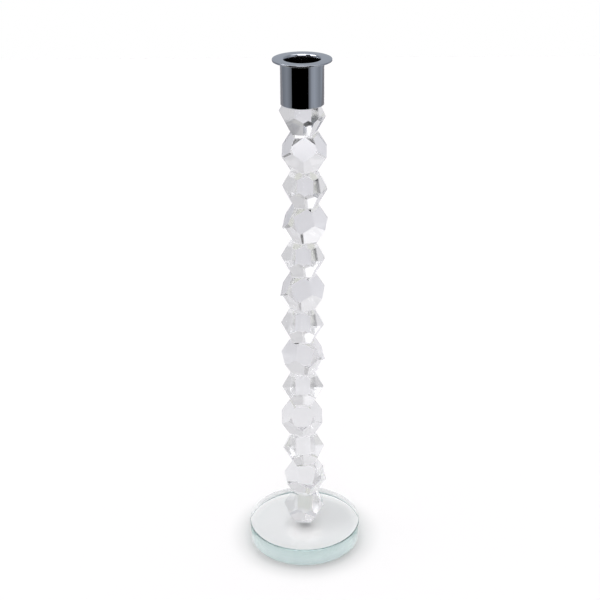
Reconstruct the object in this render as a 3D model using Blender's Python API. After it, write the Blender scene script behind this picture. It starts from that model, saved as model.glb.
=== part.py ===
"""Crystal candlestick: a thick glass base disc, a column of thirteen faceted crystal beads and a
chromed candle socket, bonded end to end with clear adhesive.

Metres, +Z up. The origin is the centre of the base disc's underside. The front is -Y.
"""

import math

import bmesh
import bpy
from mathutils import Matrix, Vector

GOLDEN = (1 + math.sqrt(5)) / 2

# Base disc
BASE_DIAMETER = 0.080
BASE_THICKNESS = 0.013
BASE_ARRIS = 0.0007
BASE_ARRIS_STEPS = 3
BASE_SIDES = 128
BASE_SHARP_ANGLE = math.radians(30)

# Crystal beads: each one is a regular dodecahedron standing on one of its faces
BEAD_ACROSS_CORNERS = 0.030
BEAD_ARRIS = 0.00018
BEAD_FACE_TILT = math.atan(2)                             # a side facet's normal, measured from +Z
BEAD_MIDDLE_RADIUS = BEAD_ACROSS_CORNERS / 2              # corners of the two middle rings
BEAD_FACE_RADIUS = BEAD_MIDDLE_RADIUS / GOLDEN            # corners of the flat top and bottom faces
BEAD_HEIGHT = BEAD_FACE_RADIUS * GOLDEN ** 2              # face to face
BLANK_SIZE = BEAD_ACROSS_CORNERS * 1.5                    # the block a bead is ground from

# The column from the base upwards: how far each bead was glued off true
BEAD_TURNS_DEG = (-8, 14, 5, 1, 0, 15, -3, -11, -3, -12, -4, -2, -8)
BEAD_SHIFTS_MM = (0.0, 0.7, -0.5, -1.4, -0.7, -0.3, -0.7, -0.6, -0.1, 1.3, 1.3, 1.1, 0.0)
BEAD_COUNT = len(BEAD_TURNS_DEG)

# Clear adhesive between the pieces
GLUE_LINE = 0.00025                                       # space between two bonded faces
GLUE_CLEARANCE = 0.00005                                  # left at each side of the film
GLUE_RADIUS = 0.0085                                      # corners of the pentagonal film
GLUE_SIDES = 5

# Candle socket: turned brass, chromed. It is bored for the candle and recessed over the top bead
SOCKET_DIAMETER = 0.0274
SOCKET_HEIGHT = 0.0286
SOCKET_SINK = 0.0059                                      # how far it comes down over the top bead
SOCKET_LIP_WALL = 0.0005
SOCKET_FLOOR = 0.002
SOCKET_FOOT_RADIUS = 0.0003
SOCKET_FOOT_STEPS = 3
CANDLE_BORE_DIAMETER = 0.0226
MOUTH_DIAMETER = 0.0240
MOUTH_FLARE_HEIGHT = 0.0020
MOUTH_FLARE_BELLY = 0.35                                  # where the curve of the flare turns up
FLANGE_DIAMETER = 0.0374
FLANGE_THICKNESS = 0.0011
FLANGE_EDGE_STEPS = 4
SOCKET_SIDES = 72
SOCKET_SHARP_ANGLE = math.radians(40)

BEAD_PITCH = BEAD_HEIGHT + GLUE_LINE
COLUMN_FOOT = BASE_THICKNESS + GLUE_LINE
COLUMN_TOP = BASE_THICKNESS + BEAD_COUNT * BEAD_PITCH
SOCKET_BOTTOM = COLUMN_TOP - SOCKET_SINK

# Each finish: colour, metallic, roughness, transmission
COLOURS = {
    "base_glass": ((0.86, 0.95, 0.94), 0.0, 0.02, 1.0),
    "crystal": ((0.97, 0.97, 0.98), 0.0, 0.01, 1.0),
    "adhesive": ((0.95, 0.95, 0.93), 0.0, 0.10, 1.0),
    "chrome": ((0.56, 0.58, 0.63), 1.0, 0.06, 0.0),
}


def make_material(name):
    """Return the named finish, making it the first time it is asked for."""
    found = bpy.data.materials.get(name)
    if found:
        return found
    colour, metallic, roughness, transmission = COLOURS[name]
    material = bpy.data.materials.new(name)
    material.use_nodes = True
    shader = material.node_tree.nodes["Principled BSDF"]
    shader.inputs["Base Color"].default_value = (*colour, 1.0)
    shader.inputs["Metallic"].default_value = metallic
    shader.inputs["Roughness"].default_value = roughness
    shader.inputs["Transmission Weight"].default_value = transmission
    return material


def mesh_from(name, shape, finish):
    """Turn a bmesh into a mesh with one finish."""
    bmesh.ops.recalc_face_normals(shape, faces=shape.faces)
    mesh = bpy.data.meshes.new(name)
    shape.to_mesh(mesh)
    shape.free()
    mesh.materials.append(make_material(finish))
    return mesh


def place(name, mesh, height, shift=0.0, turn=0.0):
    """Stand a mesh on the candlestick's axis, at a height, a sideways shift and a turn."""
    piece = bpy.data.objects.new(name, mesh)
    piece.location = (shift, 0.0, height)
    piece.rotation_euler = (0.0, 0.0, turn)
    bpy.context.scene.collection.objects.link(piece)
    return piece


def base_mesh():
    """A thick glass disc with its underside at zero and both rims eased."""
    shape = bmesh.new()
    radius = BASE_DIAMETER / 2
    bmesh.ops.create_cone(shape, cap_ends=True, segments=BASE_SIDES, radius1=radius, radius2=radius,
                          depth=BASE_THICKNESS,
                          matrix=Matrix.Translation((0, 0, BASE_THICKNESS / 2)))
    rims = [edge for edge in shape.edges if abs(edge.verts[0].co.z - edge.verts[1].co.z) < 1e-6]
    bmesh.ops.bevel(shape, geom=rims, offset=BASE_ARRIS, segments=BASE_ARRIS_STEPS, profile=0.5,
                    affect="EDGES")
    mesh = mesh_from("base_disc", shape, "base_glass")
    mesh.shade_smooth()
    mesh.set_sharp_from_angle(angle=BASE_SHARP_ANGLE)
    return mesh


def grind_facet(shape, normal):
    """Grind one flat facet, half a bead's height from the centre."""
    geometry = shape.verts[:] + shape.edges[:] + shape.faces[:]
    cut = bmesh.ops.bisect_plane(shape, geom=geometry, plane_co=normal * (BEAD_HEIGHT / 2),
                                 plane_no=normal, clear_outer=True, dist=1e-7)
    rim = [item for item in cut["geom_cut"] if isinstance(item, bmesh.types.BMEdge)]
    bmesh.ops.edgeloop_fill(shape, edges=rim)


def bead_mesh():
    """One crystal centred on zero: a blank ground flat at top and bottom and on ten sloping sides.

    A corner of the top face points to -Y.
    """
    shape = bmesh.new()
    bmesh.ops.create_cube(shape, size=BLANK_SIZE)
    directions = [Vector((0, 0, 1)), Vector((0, 0, -1))]
    for step in range(5):
        azimuth = math.radians(-90 + 72 * step)
        level = math.sin(BEAD_FACE_TILT)
        rise = math.cos(BEAD_FACE_TILT)
        lower = Vector((level * math.cos(azimuth), level * math.sin(azimuth), -rise))
        directions += [lower, -lower]
    for normal in directions:
        grind_facet(shape, normal)
    bmesh.ops.bevel(shape, geom=shape.edges[:], offset=BEAD_ARRIS, segments=1, affect="EDGES")
    return mesh_from("bead", shape, "crystal")


def glue_mesh():
    """A thin pentagonal film centred on zero, with a corner to -Y."""
    shape = bmesh.new()
    depth = GLUE_LINE - 2 * GLUE_CLEARANCE
    bmesh.ops.create_cone(shape, cap_ends=True, segments=GLUE_SIDES, radius1=GLUE_RADIUS,
                          radius2=GLUE_RADIUS, depth=depth, matrix=Matrix.Rotation(math.pi, 4, "Z"))
    return mesh_from("glue", shape, "adhesive")


def arc(centre_radius, centre_height, radius, start_deg, end_deg, steps):
    """Points of a round corner in a turned profile, as (radius, height) pairs."""
    points = []
    for step in range(steps + 1):
        angle = math.radians(start_deg + (end_deg - start_deg) * step / steps)
        points.append((centre_radius + radius * math.cos(angle),
                       centre_height + radius * math.sin(angle)))
    return points


def socket_profile():
    """Half section of the socket from its lowest edge, as (radius, height) pairs.

    It runs from the candle seat out, up the bore, over the flange, down the outside, and up inside
    the recess that takes the top bead.
    """
    outer = SOCKET_DIAMETER / 2
    bore = CANDLE_BORE_DIAMETER / 2
    recess = outer - SOCKET_LIP_WALL
    recess_top = SOCKET_SINK + GLUE_LINE
    seat = recess_top + SOCKET_FLOOR
    rim = FLANGE_DIAMETER / 2
    half = FLANGE_THICKNESS / 2
    points = [(0.0, seat), (bore, seat), (bore, SOCKET_HEIGHT - MOUTH_FLARE_HEIGHT)]
    flare = (MOUTH_DIAMETER - CANDLE_BORE_DIAMETER) / 2
    points.append((bore + MOUTH_FLARE_BELLY * flare,
                   SOCKET_HEIGHT - MOUTH_FLARE_BELLY * MOUTH_FLARE_HEIGHT))
    points.append((bore + flare, SOCKET_HEIGHT))
    points += arc(rim - half, SOCKET_HEIGHT - half, half, 90, -90, FLANGE_EDGE_STEPS)
    points.append((outer, SOCKET_HEIGHT - FLANGE_THICKNESS))
    points += arc(outer - SOCKET_FOOT_RADIUS, SOCKET_FOOT_RADIUS, SOCKET_FOOT_RADIUS, 0, -90,
                  SOCKET_FOOT_STEPS)
    points += [(recess, 0.0), (recess, recess_top), (0.0, recess_top)]
    return points


def socket_mesh():
    """The candle socket, spun from its half section, with its lowest edge at zero."""
    shape = bmesh.new()
    verts = [shape.verts.new((radius, 0.0, height)) for radius, height in socket_profile()]
    edges = [shape.edges.new(pair) for pair in zip(verts, verts[1:])]
    bmesh.ops.spin(shape, geom=verts + edges, axis=(0, 0, 1), cent=(0, 0, 0),
                   angle=2 * math.pi, steps=SOCKET_SIDES)
    bmesh.ops.remove_doubles(shape, verts=shape.verts, dist=1e-6)
    mesh = mesh_from("candle_socket", shape, "chrome")
    mesh.shade_smooth()
    mesh.set_sharp_from_angle(angle=SOCKET_SHARP_ANGLE)
    return mesh


def bead_turn(index):
    """A bead's turn: every second bead mirrors the one below, plus its own error."""
    return math.radians(180 * (index % 2) + BEAD_TURNS_DEG[index])


def build_column():
    """Stack the beads and the adhesive under each of them."""
    bead = bead_mesh()
    glue = glue_mesh()
    for index in range(BEAD_COUNT):
        shift = BEAD_SHIFTS_MM[index] / 1000
        foot = COLUMN_FOOT + index * BEAD_PITCH
        turn = bead_turn(index)
        place(f"bead_{index + 1:02d}", bead, foot + BEAD_HEIGHT / 2, shift, turn)
        place(f"adhesive_{index + 1:02d}", glue, foot - GLUE_LINE / 2, shift, turn + math.pi)
    last = BEAD_COUNT - 1
    place(f"adhesive_{BEAD_COUNT + 1:02d}", glue, COLUMN_TOP + GLUE_LINE / 2,
          BEAD_SHIFTS_MM[last] / 1000, bead_turn(last))


def clear_scene():
    """Remove whatever the scene holds."""
    for item in list(bpy.data.objects):
        bpy.data.objects.remove(item, do_unlink=True)


def main():
    clear_scene()
    place("base_disc", base_mesh(), 0.0)
    build_column()
    place("candle_socket", socket_mesh(), SOCKET_BOTTOM)


main()
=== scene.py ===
"""Studio scene of the crystal candlestick: base disc, thirteen beads, adhesive and socket."""
import math

import bmesh
import bpy
from mathutils import Matrix, Vector


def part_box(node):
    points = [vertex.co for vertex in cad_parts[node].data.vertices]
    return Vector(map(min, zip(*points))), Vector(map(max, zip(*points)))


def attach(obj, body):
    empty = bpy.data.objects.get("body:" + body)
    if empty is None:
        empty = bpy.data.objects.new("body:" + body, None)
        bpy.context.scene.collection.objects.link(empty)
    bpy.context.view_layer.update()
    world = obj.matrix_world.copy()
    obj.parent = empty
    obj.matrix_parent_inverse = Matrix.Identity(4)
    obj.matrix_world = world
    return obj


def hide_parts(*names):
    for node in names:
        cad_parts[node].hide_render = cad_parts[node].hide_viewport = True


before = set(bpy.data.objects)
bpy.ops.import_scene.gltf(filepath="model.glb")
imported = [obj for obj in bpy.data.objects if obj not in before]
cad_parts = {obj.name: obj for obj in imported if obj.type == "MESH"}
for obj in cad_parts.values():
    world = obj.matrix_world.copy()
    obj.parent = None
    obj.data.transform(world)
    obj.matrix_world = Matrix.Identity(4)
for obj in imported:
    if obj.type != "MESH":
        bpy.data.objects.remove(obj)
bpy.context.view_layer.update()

MM = 0.001

# Base disc
TOP_RIM = 0.8 * MM
FOOT_RIM = 0.35 * MM

# Beads: regular dodecahedra standing on a face
GOLDEN = (1 + math.sqrt(5)) / 2
BEAD_COUNT = 13
FACET_TILT = math.atan(2)                                 # a side facet's normal, from upright
BLANK_MARGIN = 1.1                                        # the round blank, against the bead
BEAD_ARRIS = 0.03 * MM
BONDED_ZONE = 0.01 * MM                                   # how near a bead's end a bonded face is

# Adhesive films
FILM_RADIUS = 8.5 * MM
FILM_CORNER = 1.2 * MM
FILM_SWELL = 0.08 * MM                                    # how much more of the gap it fills

# Socket
SOCKET_RADIUS = 13.7 * MM
RECESS_RADIUS = 13.2 * MM
SOCKET_SINK = 5.9 * MM                                    # how far it comes down over the top bead
GLUE_LINE = 0.25 * MM
SOCKET_FLOOR = 2.0 * MM
FLANGE_THICKNESS = 1.1 * MM
FLANGE_TOP_ROUND = 0.2 * MM
FLANGE_FOOT_ROUND = 0.15 * MM
MOUTH_RADIUS = 12.0 * MM
MOUTH_ROUND = 0.25 * MM
BORE_RADIUS = 11.3 * MM
FLARE = ((0.5, 11.62), (1.2, 11.4), (2.0, 11.3))          # depth and radius down to the bore, mm
SOCKET_FOOT_ROUND = 0.22 * MM

# Camera
CAMERA_BACK = 0.733
CAMERA_HEIGHT = 0.536
CAMERA_PITCH = math.radians(25.27)
CAMERA_TURN = math.radians(0.18)
CAMERA_ROLL = math.radians(-0.4)
CAMERA_LENS = 72.1

# Studio
BLACK = (0.0, 0.0, 0.0, 1.0)
WHITE = (1.0, 1.0, 1.0, 1.0)
TABLE_FRONT = 0.56
TABLE_GAP = 0.05 * MM                                     # keeps the table clear of the base
OVERHEAD = 1.9
LAMP = 8.0                                                # as mirrors see it
SOFT_LAMP = 1.1                                           # as it comes through the glass


# ---------------------------------------------------------------------------------------------
# Shader helpers
# ---------------------------------------------------------------------------------------------

class Number:
    """A value socket that takes part in Python arithmetic: each step adds a Math node."""

    def __init__(self, tree, socket):
        self.tree = tree
        self.socket = socket

    def step(self, operation, *others):
        node = self.tree.nodes.new("ShaderNodeMath")
        node.operation = operation
        for slot, item in zip(node.inputs, (self, *others)):
            feed(self.tree, slot, item)
        return Number(self.tree, node.outputs[0])

    def turned(self, operation, other):
        node = self.tree.nodes.new("ShaderNodeMath")
        node.operation = operation
        feed(self.tree, node.inputs[0], other)
        feed(self.tree, node.inputs[1], self)
        return Number(self.tree, node.outputs[0])

    def __add__(self, other):
        return self.step("ADD", other)

    def __radd__(self, other):
        return self.step("ADD", other)

    def __sub__(self, other):
        return self.step("SUBTRACT", other)

    def __rsub__(self, other):
        return self.turned("SUBTRACT", other)

    def __mul__(self, other):
        return self.step("MULTIPLY", other)

    def __rmul__(self, other):
        return self.step("MULTIPLY", other)

    def __truediv__(self, other):
        return self.step("DIVIDE", other)

    def __rtruediv__(self, other):
        return self.turned("DIVIDE", other)

    def __pow__(self, other):
        return self.step("POWER", other)

    def __rpow__(self, other):
        return self.turned("POWER", other)


def feed(tree, slot, item):
    """Give a node's input a link, or a constant of its own."""
    if isinstance(item, Number):
        tree.links.new(item.socket, slot)
    elif isinstance(item, bpy.types.NodeSocket):
        tree.links.new(item, slot)
    else:
        slot.default_value = item


class Shader:
    """A node tree being built: add() makes any node, number() wraps a socket for arithmetic."""

    def __init__(self, tree):
        self.tree = tree
        tree.nodes.clear()

    def add(self, kind, settings=None, inputs=None):
        node = self.tree.nodes.new("ShaderNode" + kind)
        for key, value in (settings or {}).items():
            setattr(node, key, value)
        for key, value in (inputs or {}).items():
            feed(self.tree, node.inputs[key], value)
        return node

    def number(self, socket):
        return Number(self.tree, socket)

    def smooth(self, value, low, high, start=0.0, end=1.0):
        """A soft step of value from start at low to end at high."""
        node = self.add("MapRange", {"interpolation_type": "SMOOTHSTEP"},
                        {"Value": value, "From Min": low, "From Max": high,
                         "To Min": start, "To Max": end})
        return self.number(node.outputs["Result"])

    def blend(self, factor, first, second):
        """A colour between two colours."""
        node = self.add("Mix", {"data_type": "RGBA"})
        feed(self.tree, node.inputs["Factor"], factor)
        feed(self.tree, node.inputs[6], first)
        feed(self.tree, node.inputs[7], second)
        return node.outputs[2]


def mirror_ray(shader, path):
    """One where a ray comes off a mirror or an outer surface, nought where it leaves glass."""
    glossy = shader.number(path.outputs["Is Glossy Ray"])
    return glossy * (1.0 - shader.number(path.outputs["Is Transmission Ray"]))


def new_finish(name):
    """An empty material and the shader that builds it."""
    material = bpy.data.materials.new(name)
    material.use_nodes = True
    return material, Shader(material.node_tree)


# ---------------------------------------------------------------------------------------------
# Modelling helpers
# ---------------------------------------------------------------------------------------------

def start_piece(name, primitive, **size):
    """Add a primitive with nothing else selected, name it, and go into edit mode."""
    bpy.ops.object.select_all(action="DESELECT")
    primitive(**size)
    piece = bpy.context.object
    piece.name = name
    piece.data.name = name
    bpy.ops.object.mode_set(mode="EDIT")
    return piece


def end_piece(piece, materials):
    """Leave edit mode, put the piece's place into its mesh, and give it its finishes."""
    bpy.ops.object.mode_set(mode="OBJECT")
    piece.data.transform(piece.matrix_world)
    piece.matrix_world = Matrix.Identity(4)
    piece.data.materials.clear()
    for material in materials:
        piece.data.materials.append(material)


def pick(piece, part, test):
    """In edit mode, select only the vertices, edges or faces that pass a test of their middle."""
    bpy.ops.mesh.select_all(action="DESELECT")
    shape = bmesh.from_edit_mesh(piece.data)
    modes = {"verts": "VERT", "edges": "EDGE", "faces": "FACE"}
    bpy.context.tool_settings.mesh_select_mode = tuple(mode == part for mode in modes)
    shape.select_mode = {modes[part]}
    for item in getattr(shape, part):
        item.select_set(bool(test(item)))
    shape.select_flush_mode()
    bmesh.update_edit_mesh(piece.data)


def level_edge(height, radius=None, slack=0.00002):
    """A test for edges that lie level at a height, and at a distance from the axis."""
    def test(edge):
        ends = [vert.co for vert in edge.verts]
        level = all(abs(end.z - height) < slack for end in ends)
        if radius is None or not level:
            return level
        return all(abs(end.to_2d().length - radius) < slack for end in ends)
    return test


def level_face(height, slack=0.00002):
    """A test for level faces at a height."""
    def test(face):
        return abs(face.normal.z) > 0.99 and abs(face.calc_center_median().z - height) < slack
    return test


def draw_out(piece, shift, old_radius, new_radius, height):
    """Extrude what is selected along the axis and change its radius."""
    bpy.ops.mesh.extrude_region_move(TRANSFORM_OT_translate={"value": (0, 0, shift)})
    scale = new_radius / old_radius
    bpy.ops.transform.resize(value=(scale, scale, 1), center_override=(0, 0, height))


def middle(node):
    """The middle of a node's box."""
    low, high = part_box(node)
    return (low + high) / 2


# ---------------------------------------------------------------------------------------------
# Finishes
# ---------------------------------------------------------------------------------------------

def polished_glass(shader, roughness):
    """A clear glass surface."""
    return shader.add("BsdfPrincipled", inputs={
        "Base Color": WHITE, "Roughness": roughness, "IOR": 1.52,
        "Transmission Weight": 1.0}).outputs[0]


def crystal_finish():
    """Colourless crystal. A little roughness softens the longest chains of reflections."""
    material, shader = new_finish("cut_crystal")
    shader.add("OutputMaterial", inputs={"Surface": polished_glass(shader, 0.08)})
    return material


def base_finish():
    """Thick soda-lime glass: clear through its face, blue-green along its length."""
    material, shader = new_finish("base_glass")
    body = shader.add("VolumeAbsorption", inputs={
        "Color": (0.20, 0.46, 0.44, 1.0), "Density": 10.0})
    shader.add("OutputMaterial", inputs={"Surface": polished_glass(shader, 0.0),
                                         "Volume": body.outputs[0]})
    return material


def bonded_finish():
    """A face wetted by adhesive of the glass's own index: light goes straight through it."""
    material, shader = new_finish("bonded_face")
    clear = shader.add("BsdfTransparent", inputs={"Color": WHITE})
    shader.add("OutputMaterial", inputs={"Surface": clear.outputs[0]})
    return material


def painted_foot_shade_finish():
    """A flat grey diffuse face under the lowest crystal: painted shade at its foot, in place of a
    clear adhesive bed.
    """
    material, shader = new_finish("painted_foot_shade")
    bed = shader.add("BsdfDiffuse", inputs={"Color": (0.66, 0.66, 0.67, 1.0)})
    shader.add("OutputMaterial", inputs={"Surface": bed.outputs[0]})
    return material


def adhesive_finish():
    """The cured edge of a clear adhesive film."""
    material, shader = new_finish("clear_adhesive")
    film = shader.add("BsdfPrincipled", inputs={
        "Base Color": (1.0, 1.0, 0.99, 1.0), "Roughness": 0.05, "IOR": 1.5,
        "Transmission Weight": 1.0})
    shader.add("OutputMaterial", inputs={"Surface": film.outputs[0]})
    return material


def chrome_finish(name, colour, clearest, haziest):
    """Decorative chrome, bright outside, darker and hazier in the bore, with a faint drifting
    haze.
    """
    material, shader = new_finish(name)
    drift = shader.add("TexNoise", inputs={
        "Vector": shader.add("TexCoord").outputs["Object"], "Scale": 220.0, "Detail": 3.0})
    haze = shader.number(drift.outputs["Fac"])
    metal = shader.add("BsdfPrincipled", inputs={
        "Base Color": colour, "Metallic": 1.0,
        "Roughness": haze * (haziest - clearest) + clearest})
    shader.add("OutputMaterial", inputs={"Surface": metal.outputs[0]})
    return material


# ---------------------------------------------------------------------------------------------
# Pieces
# ---------------------------------------------------------------------------------------------

def make_base():
    """The base disc, with both rims rounded."""
    low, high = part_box("base_disc")
    radius = (high.x - low.x) / 2
    thickness = high.z - low.z
    piece = start_piece("glass_base", bpy.ops.mesh.primitive_cylinder_add, vertices=256,
                        radius=radius, depth=thickness, location=(0, 0, thickness / 2))
    for height, width in ((thickness / 2, TOP_RIM), (-thickness / 2, FOOT_RIM)):
        pick(piece, "edges", level_edge(height))
        bpy.ops.mesh.bevel(offset=width, segments=5, affect="EDGES", profile=0.5)
    end_piece(piece, [base_finish()])
    bpy.ops.object.shade_smooth_by_angle(angle=math.radians(35))
    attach(piece, "root")
    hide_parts("base_disc")


def grind(normal, distance):
    """Grind one flat facet on the piece in edit mode."""
    bpy.ops.mesh.select_all(action="SELECT")
    bpy.ops.mesh.bisect(plane_co=normal * distance, plane_no=normal, use_fill=True,
                        clear_outer=True, threshold=1e-7)


def make_bead_pattern(height, finishes):
    """One crystal centred on zero, with a corner of its top face to the front.

    Ten side facets are ground on a round blank, and every edge gets a fine polished arris.
    """
    middle_radius = height / GOLDEN
    piece = start_piece("bead_pattern", bpy.ops.mesh.primitive_cylinder_add, vertices=20,
                        radius=middle_radius * BLANK_MARGIN, depth=height)
    for step in range(5):
        azimuth = math.radians(-90 + 72 * step)
        lower = Vector((math.sin(FACET_TILT) * math.cos(azimuth),
                        math.sin(FACET_TILT) * math.sin(azimuth), -math.cos(FACET_TILT)))
        grind(lower, height / 2)
        grind(-lower, height / 2)
    bpy.ops.mesh.select_all(action="SELECT")
    bpy.ops.mesh.remove_doubles(threshold=1e-6)
    bpy.ops.mesh.normals_make_consistent(inside=False)
    bpy.ops.mesh.bevel(offset=BEAD_ARRIS, segments=1, affect="EDGES", profile=0.5)
    end_piece(piece, finishes)
    for face in piece.data.polygons:
        bonded = abs(face.normal.z) > 0.999 and abs(face.center.z) > height / 2 - BONDED_ZONE
        face.material_index = 1 if bonded else 0
    return piece


def corner_turn(node, centre):
    """The turn of a bead: the direction of a corner of its top face, from the front."""
    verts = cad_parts[node].data.vertices
    top = max(vert.co.z for vert in verts)
    corner = max((vert.co for vert in verts if vert.co.z > top - BONDED_ZONE),
                 key=lambda spot: (spot - centre).to_2d().length)
    return math.atan2(corner.y - centre.y, corner.x - centre.x) + math.pi / 2


def make_beads(finishes):
    """A crystal for each bead node, where the frame says and turned as it says.

    The finishes are for the facets, for the bonded ends, and for the lowest end of all.
    """
    low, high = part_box("bead_01")
    pattern = make_bead_pattern(high.z - low.z, finishes)
    for index in range(1, BEAD_COUNT + 1):
        node = f"bead_{index:02d}"
        centre = middle(node)
        piece = pattern.copy()
        piece.data = pattern.data.copy()
        piece.name = f"crystal_{index:02d}"
        piece.data.name = piece.name
        bpy.context.scene.collection.objects.link(piece)
        piece.data.transform(Matrix.Translation(centre)
                             @ Matrix.Rotation(corner_turn(node, centre), 4, "Z"))
        # The lowest crystal's bottom face takes the grey sheet: painted shade at its foot
        if index == 1:
            for face in piece.data.polygons:
                if face.normal.z < -0.999:
                    face.material_index = 2
        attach(piece, "root")
        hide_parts(node)
    bpy.data.objects.remove(pattern)


def make_adhesive(finish, bonded):
    """The films: five-sided plates with rounded corners, clear through their bonded faces."""
    for index in range(1, BEAD_COUNT + 2):
        node = f"adhesive_{index:02d}"
        centre = middle(node)
        low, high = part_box(node)
        depth = high.z - low.z + FILM_SWELL
        piece = start_piece(f"clear_bond_{index:02d}", bpy.ops.mesh.primitive_cylinder_add,
                            vertices=5, radius=FILM_RADIUS, depth=depth, location=centre,
                            rotation=(0, 0, corner_turn(node, centre) + math.pi))
        pick(piece, "edges", lambda edge: abs(edge.verts[0].co.z - edge.verts[1].co.z) > 0.1 * MM)
        bpy.ops.mesh.bevel(offset=FILM_CORNER, segments=5, affect="EDGES")
        end_piece(piece, [finish, bonded])
        for face in piece.data.polygons:
            face.material_index = 1 if abs(face.normal.z) > 0.9 else 0
        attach(piece, "root")
        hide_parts(node)


def make_socket(finishes):
    """The socket, turned from a round bar: flange, flared mouth, candle bore and bead recess."""
    low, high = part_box("candle_socket")
    height = high.z - low.z
    half = height / 2
    flange = (high.x - low.x) / 2
    flange_foot = high.z - FLANGE_THICKNESS
    seat = low.z + SOCKET_SINK + GLUE_LINE + SOCKET_FLOOR
    piece = start_piece("chrome_socket", bpy.ops.mesh.primitive_cylinder_add, vertices=180,
                        radius=SOCKET_RADIUS, depth=height, location=(0, 0, low.z + half))
    bpy.ops.mesh.select_all(action="SELECT")
    bpy.ops.mesh.bisect(plane_co=(0, 0, flange_foot), plane_no=(0, 0, 1))
    pick(piece, "faces", lambda face: abs(face.normal.z) < 0.1
         and face.calc_center_median().z > half - FLANGE_THICKNESS)
    draw_out(piece, 0, SOCKET_RADIUS, flange, high.z)
    for level, width in ((half, FLANGE_TOP_ROUND), (half - FLANGE_THICKNESS, FLANGE_FOOT_ROUND)):
        pick(piece, "edges", level_edge(level, flange))
        bpy.ops.mesh.bevel(offset=width, segments=4, affect="EDGES")

    pick(piece, "faces", lambda face: level_face(half)(face)
         and face.calc_center_median().to_2d().length < 1 * MM)
    bpy.ops.mesh.inset(thickness=SOCKET_RADIUS - MOUTH_RADIUS, depth=0)
    depth, radius = 0.0, MOUTH_RADIUS
    for new_depth, new_radius in FLARE:
        draw_out(piece, (depth - new_depth) * MM, radius, new_radius * MM, high.z)
        depth, radius = new_depth, new_radius * MM
    draw_out(piece, seat - (high.z - depth * MM), BORE_RADIUS, BORE_RADIUS, high.z)

    pick(piece, "faces", level_face(-half))
    bpy.ops.mesh.inset(thickness=SOCKET_RADIUS - RECESS_RADIUS, depth=0)
    draw_out(piece, SOCKET_SINK + GLUE_LINE, RECESS_RADIUS, RECESS_RADIUS, low.z)
    pick(piece, "edges", level_edge(-half, SOCKET_RADIUS))
    bpy.ops.mesh.bevel(offset=SOCKET_FOOT_ROUND, segments=3, affect="EDGES")
    pick(piece, "edges", level_edge(half, MOUTH_RADIUS))
    bpy.ops.mesh.bevel(offset=MOUTH_ROUND, segments=3, affect="EDGES")
    # Rings close to the ends keep the shading of the long walls even
    for level in (low.z + 0.3 * MM, low.z + 0.6 * MM, flange_foot - 0.3 * MM, seat + 0.3 * MM):
        bpy.ops.mesh.select_all(action="SELECT")
        bpy.ops.mesh.bisect(plane_co=(0, 0, level), plane_no=(0, 0, 1))
    end_piece(piece, finishes)
    for face in piece.data.polygons:
        narrow = face.center.to_2d().length < BORE_RADIUS + 0.2 * MM
        face.material_index = 1 if narrow and face.center.z > seat - 0.1 * MM else 0
    bpy.ops.object.shade_smooth_by_angle(angle=math.radians(40))
    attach(piece, "root")
    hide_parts("candle_socket")


# ---------------------------------------------------------------------------------------------
# Studio
# ---------------------------------------------------------------------------------------------

def table_through_glass(shader, across, along, reach, mirrored):
    """The table's colour as the glass and the chrome see it, with light and shade painted into it.
    """
    def distance(right, back):
        """How far a spot of the table is from a place on it."""
        return ((across - right) ** 2.0 + (along - back) ** 2.0) ** 0.5

    # Painted light and shade round the base: pale close by, grey from far off, greenish in front
    far = shader.smooth(reach, 0.06, 0.45)
    side = shader.smooth(across, -0.5, 0.5)
    grey = shader.blend(side, (0.67, 0.67, 0.685, 1.0), (0.57, 0.57, 0.585, 1.0))
    outer = shader.blend(far, (0.76, 0.76, 0.76, 1.0), grey)
    fore = shader.smooth(along * -1.0, 0.12, 0.24)
    outer = shader.blend(fore, outer, (0.60, 0.61, 0.56, 1.0))

    # Painted light under the base: brightest in a pool in front of the column and along the rim
    painted_light_pool = shader.smooth(distance(0.0, -0.008), 0.004, 0.017, 0.9, 0.0)
    painted_light_pool = painted_light_pool + shader.smooth(reach, 0.033, 0.039)
    under = shader.blend(painted_light_pool, (0.973, 0.914, 0.904, 1.0), (1.167, 1.087, 1.073, 1.0))
    near = shader.smooth(reach, 0.04, 0.06)
    colour = shader.blend(near, under, outer)

    # Painted shade of the column on the table: at its foot, behind it, and where its lowest bead
    # hides the table
    foot = shader.smooth(distance(0.001, -0.0005), 0.001, 0.006, 0.22, 0.0)
    cast = (shader.smooth(distance(0.022, 0.012), 0.005, 0.026, 0.13, 0.0)
            + shader.smooth(distance(0.002, 0.026), 0.0, 0.022, 0.16, 0.0))
    colour = shader.blend(foot + cast, colour, BLACK)
    # A darker, warmer patch behind the column: painted shade
    painted_back_shade = shader.smooth(distance(-0.0005, 0.028), 0.0065, 0.0115, 1.0, 0.0)
    colour = shader.blend(painted_back_shade, colour, (0.768, 0.726, 0.684, 1.0))

    # Painted shade: as mirrors see it, the table grows darker far from the base
    painted_far_shade = mirrored * shader.smooth(reach, 0.7, 1.0, 0.0, 0.55)
    return shader.blend(painted_far_shade, colour, BLACK)


def table_to_the_eye(shader, along, reach):
    """The table's own white, with a painted soft shadow round the base that is deeper in front."""
    front = shader.smooth(along * -1.0 / reach, 0.0, 1.0)
    shade = (shader.smooth(reach, 0.040, 0.058, 0.145, 0.0)
             + front * shader.smooth(reach, 0.040, 0.064, 0.10, 0.0)
             + front * shader.smooth(reach, 0.040, 0.048, 0.12, 0.0))
    return shader.blend(shade, (0.905, 0.897, 0.879, 1.0), BLACK)


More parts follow.
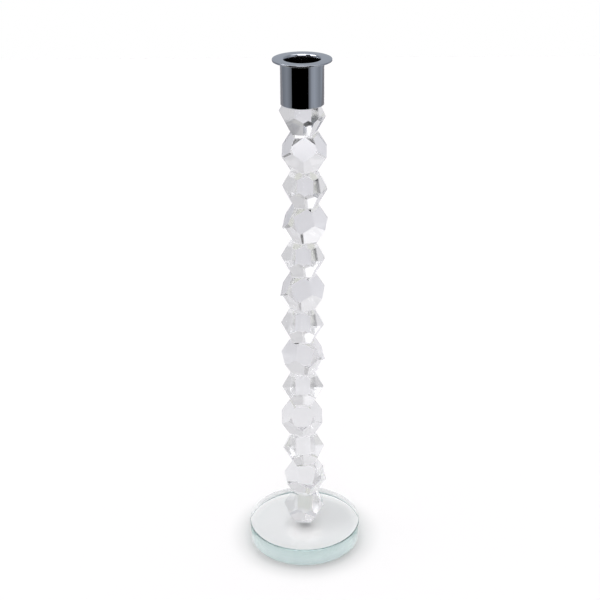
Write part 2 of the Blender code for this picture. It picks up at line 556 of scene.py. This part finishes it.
def make_floor():
    """A white table top with its front edge out of sight."""
    bpy.ops.object.select_all(action="DESELECT")
    bpy.ops.mesh.primitive_plane_add(size=2, location=(0, 1 - TABLE_FRONT, -TABLE_GAP))
    floor = bpy.context.object
    floor.name = "table_top"
    material, shader = new_finish("white_table")
    place = shader.add("SeparateXYZ", inputs={0: shader.add("NewGeometry").outputs["Position"]})
    across, along = (shader.number(place.outputs[key]) for key in "XY")
    reach = (across ** 2.0 + along ** 2.0) ** 0.5
    path = shader.add("LightPath")
    # What glass and chrome see of the table carries painted light and shade; the eye sees a
    # painted shadow round the base
    through = table_through_glass(shader, across, along, reach, mirror_ray(shader, path))
    direct = table_to_the_eye(shader, along, reach)
    colour = shader.blend(path.outputs["Is Camera Ray"], through, direct)
    paper = shader.add("BsdfDiffuse", inputs={"Color": colour})
    shader.add("OutputMaterial", inputs={"Surface": paper.outputs[0]})
    floor.data.materials.append(material)


def wall_grey(value):
    """A wall grey, very slightly lavender."""
    return (value * 0.995, value * 0.99, value * 1.02, 1.0)


def mirrored_walls(shader, azimuth):
    """The walls as mirrors and outer surfaces see them: cool greys that change round the room."""
    ramp = shader.add("ValToRGB", inputs={"Fac": (azimuth + 180.0) / 360.0})
    stops = ((-180, 0.50), (-134, 0.36), (-120, 0.29), (-88, 0.38), (-72, 0.30), (-60, 0.20),
             (40, 0.22), (50, 0.46), (66, 0.53), (82, 0.45), (103, 0.35), (124, 0.44),
             (140, 0.38), (180, 0.50))
    while len(ramp.color_ramp.elements) < len(stops):
        ramp.color_ramp.elements.new(0.5)
    for element, (angle, value) in zip(ramp.color_ramp.elements, stops):
        element.position = (angle + 180) / 360
        element.color = (value * 0.92, value * 0.98, value * 1.08, 1.0)
    return ramp.outputs["Color"]


def make_surroundings():
    """A white studio to the eye; glass and chrome see its grey walls, dark front and lamps."""
    world = bpy.data.worlds.new("studio")
    bpy.context.scene.world = world
    world.use_nodes = True
    # The colours depend on the kind of ray, and light sampling would not know the kind
    world.cycles.sampling_method = "NONE"
    shader = Shader(world.node_tree)
    direction = shader.add("TexCoord").outputs["Generated"]
    axes = shader.add("SeparateXYZ", inputs={0: direction})
    right, back, up = (shader.number(axes.outputs[key]) for key in "XYZ")
    azimuth = right.step("ARCTAN2", back * -1.0) * math.degrees(1)
    height = up.step("ARCSINE") * math.degrees(1)
    path = shader.add("LightPath")
    mirrored = mirror_ray(shader, path)

    def window(left, right_side, bottom, top, soft):
        """A soft-edged patch of the surroundings, in degrees of azimuth and elevation."""
        across = (shader.smooth(azimuth, left - soft, left + soft)
                  * shader.smooth(azimuth, right_side - soft, right_side + soft, 1.0, 0.0))
        along = (shader.smooth(height, bottom - soft, bottom + soft)
                 * shader.smooth(height, top - soft, top + soft, 1.0, 0.0))
        return across * along

    # The walls that light coming out of the glass sees, with brighter and darker panels
    colour = shader.blend(shader.smooth(right, -0.9, 0.9), wall_grey(0.74), wall_grey(0.64))
    panels = ((-176, -138, 2, 22, 6, 0.78), (-162, -149, 12.8, 16, 0.6, 0.93),
              (142, 158, 20, 28, 2, 0.56), (149, 153, 22, 25, 1, 0.33),
              (28, 46, 8, 20, 2.5, 0.14), (-52, -30, 13, 24, 2, 0.12),
              (110, 150, 31, 40, 3, 0.95))
    for left, right_side, bottom, top, soft, value in panels:
        colour = shader.blend(window(left, right_side, bottom, top, soft), colour,
                              wall_grey(value))
    colour = shader.blend(mirrored, colour, mirrored_walls(shader, azimuth))

    # The dark front of the room: low to glass, taller to mirrors, with two gaps
    colour = shader.blend(window(-57, 34, -70, 1, 1.0), colour, BLACK)
    colour = shader.blend(window(-57, 34, -2, 33, 1.0) * mirrored, colour, BLACK)
    gaps = window(17.5, 24.5, -12, -4, 1.0) + window(-19.3, -14, -7, 0, 0.4)
    colour = shader.blend(gaps * (1.0 - mirrored), colour, wall_grey(0.62))

    # The overhead light, and the two lamps in front and at the left
    colour = shader.blend(shader.smooth(height, 50.0, 58.0), colour, wall_grey(OVERHEAD))
    lamp = shader.blend(mirrored, wall_grey(SOFT_LAMP), wall_grey(LAMP))
    colour = shader.blend(window(-26, 30, 35, 50, 1.5), colour, lamp)
    colour = shader.blend(window(-108, -62, 33, 47, 1.5), colour, lamp)
    colour = shader.blend(path.outputs["Is Camera Ray"], colour, WHITE)
    sky = shader.add("Background", inputs={"Color": colour, "Strength": 1.0})
    shader.add("OutputWorld", inputs={"Surface": sky.outputs[0]})


def make_camera():
    """The camera, a little above the socket and looking down at the column."""
    camera = bpy.data.cameras.new("camera")
    camera.lens = CAMERA_LENS
    camera.sensor_width = 36
    camera.clip_start = 0.01
    stand = bpy.data.objects.new("camera", camera)
    turn = (Matrix.Rotation(CAMERA_TURN, 4, "Z")
            @ Matrix.Rotation(math.pi / 2 - CAMERA_PITCH, 4, "X")
            @ Matrix.Rotation(CAMERA_ROLL, 4, "Z"))
    stand.matrix_world = Matrix.Translation((0, -CAMERA_BACK, CAMERA_HEIGHT)) @ turn
    bpy.context.scene.collection.objects.link(stand)
    bpy.context.scene.camera = stand


def set_light_paths():
    """Let light go deep into the stacked glass, and show whites as they are."""
    scene = bpy.context.scene
    scene.view_settings.view_transform = "Standard"
    scene.cycles.blur_glossy = 0
    scene.cycles.max_bounces = 32
    scene.cycles.transmission_bounces = 32
    scene.cycles.glossy_bounces = 16
    scene.cycles.diffuse_bounces = 3
    scene.cycles.transparent_max_bounces = 32


make_camera()
make_floor()
make_surroundings()
set_light_paths()
crystal = crystal_finish()
bonded = bonded_finish()
make_base()
make_beads([crystal, bonded, painted_foot_shade_finish()])
make_adhesive(adhesive_finish(), bonded)
make_socket([chrome_finish("bright_chrome", (0.55, 0.57, 0.61, 1.0), 0.02, 0.06),
             chrome_finish("bore_chrome", (0.24, 0.23, 0.23, 1.0), 0.04, 0.16)])
